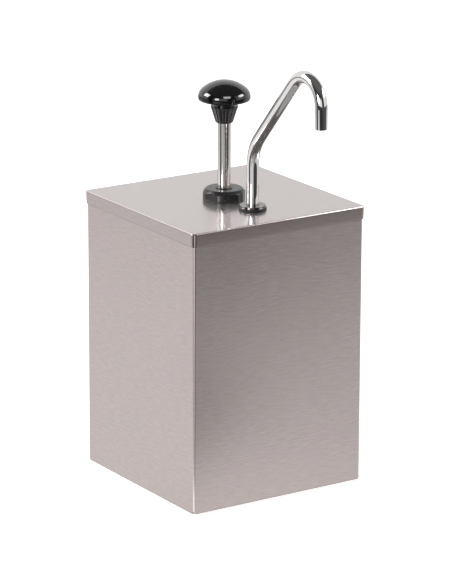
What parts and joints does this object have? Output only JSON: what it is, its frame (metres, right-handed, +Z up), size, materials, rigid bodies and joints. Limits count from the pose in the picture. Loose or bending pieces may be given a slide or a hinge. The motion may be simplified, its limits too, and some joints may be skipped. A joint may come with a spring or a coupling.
{
  "type": "fructose dispenser",
  "caption": "Square stainless countertop syrup dispenser with a lift-off lid that carries a knob-topped plunger pump and a swan-neck pouring spout.",
  "frame": {"origin": "centre of the housing's flat bottom, on the counter", "axes": "+Z up; -Y is the front, where the spout pours; +X is on the right for someone who faces the front"},
  "size_m": [0.1936, 0.263, 0.4212],
  "materials": {
    "stainless_sheet": "fine brushed stainless steel",
    "stainless_tube": "polished stainless steel",
    "stainless_part": "machined stainless steel",
    "spring_steel": "stainless spring wire",
    "chrome": "mirror chrome",
    "dark_nickel": "dark nickel plate",
    "black_gloss": "glossy black",
    "black_satin": "satin black",
    "black_rubber": "matte",
    "jar_plastic": "frosted white",
    "pump_plastic": "white acetal"
  },
  "bodies": {
    "housing": {"housing_shell": "stainless_sheet", "bottom_pan": "stainless_sheet", "jar": "jar_plastic"},
    "lid_unit": {"lid": "stainless_sheet", "lock_nut": "black_satin", "guide_bush": "black_satin", "collar_gasket": "black_rubber", "pump_collar": "pump_plastic", "pump_cylinder": "stainless_tube", "cylinder_o_ring": "black_rubber", "valve_body": "pump_plastic", "inlet_retainer": "stainless_part", "outlet_retainer": "stainless_part", "passage_plug": "stainless_part", "plug_washer": "pump_plastic", "return_spring": "spring_steel", "tube_o_ring": "black_rubber", "spout_tube": "chrome", "escutcheon": "dark_nickel", "spout_gasket": "black_rubber", "shank_washer": "stainless_part", "jam_nut": "stainless_part"},
    "plunger": {"knob": "black_gloss", "knob_skirt": "black_satin", "plunger_plug": "stainless_part", "plunger_tube": "stainless_tube", "stop_ring": "pump_plastic", "stop_pin": "stainless_part", "piston": "pump_plastic", "piston_seal": "black_rubber", "seal_washer": "stainless_part", "piston_screw": "stainless_part"},
    "inlet_ball": {"inlet_ball": "stainless_part"},
    "outlet_ball": {"outlet_ball": "stainless_part"}
  },
  "joints": [
    {"name": "lid_lift", "type": "slide", "parent": "housing", "child": "lid_unit", "axis": [0, 0, 1], "range_m": [0, 0.28]},
    {"name": "plunger_stroke", "type": "slide", "parent": "lid_unit", "child": "plunger", "axis": [0, 0, -1], "range_m": [0, 0.06], "stiffness_N_per_m": 300, "springref_m": -0.025, "deforming": ["return_spring"]},
    {"name": "inlet_ball_lift", "type": "slide", "parent": "lid_unit", "child": "inlet_ball", "axis": [0, 0, 1], "range_m": [0, 0.0025]},
    {"name": "outlet_ball_lift", "type": "slide", "parent": "lid_unit", "child": "outlet_ball", "axis": [0, 0, 1], "range_m": [0, 0.0025]}
  ]
}
